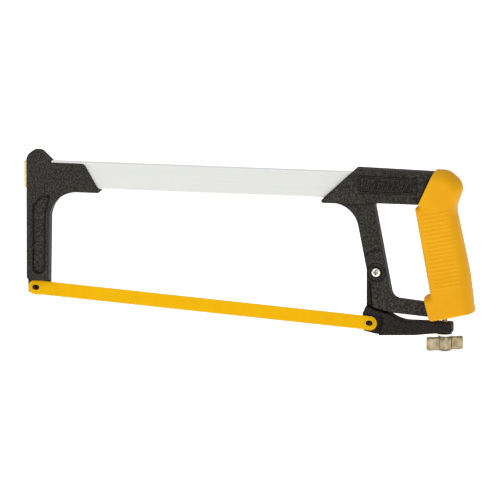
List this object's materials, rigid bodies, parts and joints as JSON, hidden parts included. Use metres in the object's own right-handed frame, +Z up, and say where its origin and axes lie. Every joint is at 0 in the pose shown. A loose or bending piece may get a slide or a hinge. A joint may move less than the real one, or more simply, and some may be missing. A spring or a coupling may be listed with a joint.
{
  "type": "hacksaw",
  "caption": "Hacksaw with a straight tube frame, pistol grip, hooked-on blade and a lever tensioner drawn up by a wing nut.",
  "frame": {"origin": "middle of the base of the overall box: on the saw's centre plane, level with the underside of the wing nut", "axes": "+X from the nose to the grip, +Y to the far side when the nose points left, +Z up with the cutting edge down"},
  "size_m": [0.4032, 0.0296, 0.1648],
  "materials": {
    "black_coat": "black textured powder coat on cast metal",
    "silver_tube": "satin plated steel tube",
    "yellow_grip": "satin moulded plastic with ribs",
    "yellow_blade": "semi-gloss paint on spring steel",
    "bright_nickel": "bright nickel plate",
    "wing_nickel": "warm nickel plate on a casting",
    "dark_steel": "dark hardened steel",
    "pale_plug": "satin moulded plastic"
  },
  "bodies": {
    "frame": {"front_casting": "black_coat", "nose_plug": "pale_plug", "frame_tube": "silver_tube", "front_tube_pins": "dark_steel", "rear_casting": "black_coat", "rear_tube_pins": "dark_steel", "grip_near_shell": "yellow_grip", "grip_far_shell": "yellow_grip", "grip_screws": "bright_nickel", "screw_anchor": "dark_steel", "tension_screw": "bright_nickel", "pivot_screw": "bright_nickel", "pivot_nut": "bright_nickel", "pivot_washers": "dark_steel", "front_blade_pin": "dark_steel"},
    "lever": {"tension_lever": "black_coat", "rear_blade_pin": "dark_steel"},
    "blade": {"blade": "yellow_blade"},
    "washer": {"thrust_washer": "bright_nickel"},
    "wing_nut": {"wing_nut": "wing_nickel"}
  },
  "joints": [
    {"name": "washer_slide", "type": "slide", "parent": "frame", "child": "washer", "axis": [0, 0, -1], "range_m": [0, 0.0032]},
    {"name": "wing_nut_spin", "type": "hinge", "parent": "washer", "child": "wing_nut", "pos_m": [0.17485, 0, 0.007], "axis": [0, 0, -1], "range_deg": [0, 1440]},
    {"name": "lever_pivot", "type": "hinge", "parent": "frame", "child": "lever", "pos_m": [0.11455, 0, 0.0679], "axis": [0, 1, 0], "range_deg": [0, 2.6]},
    {"name": "blade_unhook", "type": "slide", "parent": "frame", "child": "blade", "axis": [0, -1, 0], "range_m": [0, 0.02]}
  ],
  "couplings": [
    {"joint": "washer_slide", "follows": "wing_nut_spin", "m_per_rad": 0.00012732},
    {"joint": "lever_pivot", "follows": "wing_nut_spin", "ratio": 0.0018056}
  ]
}
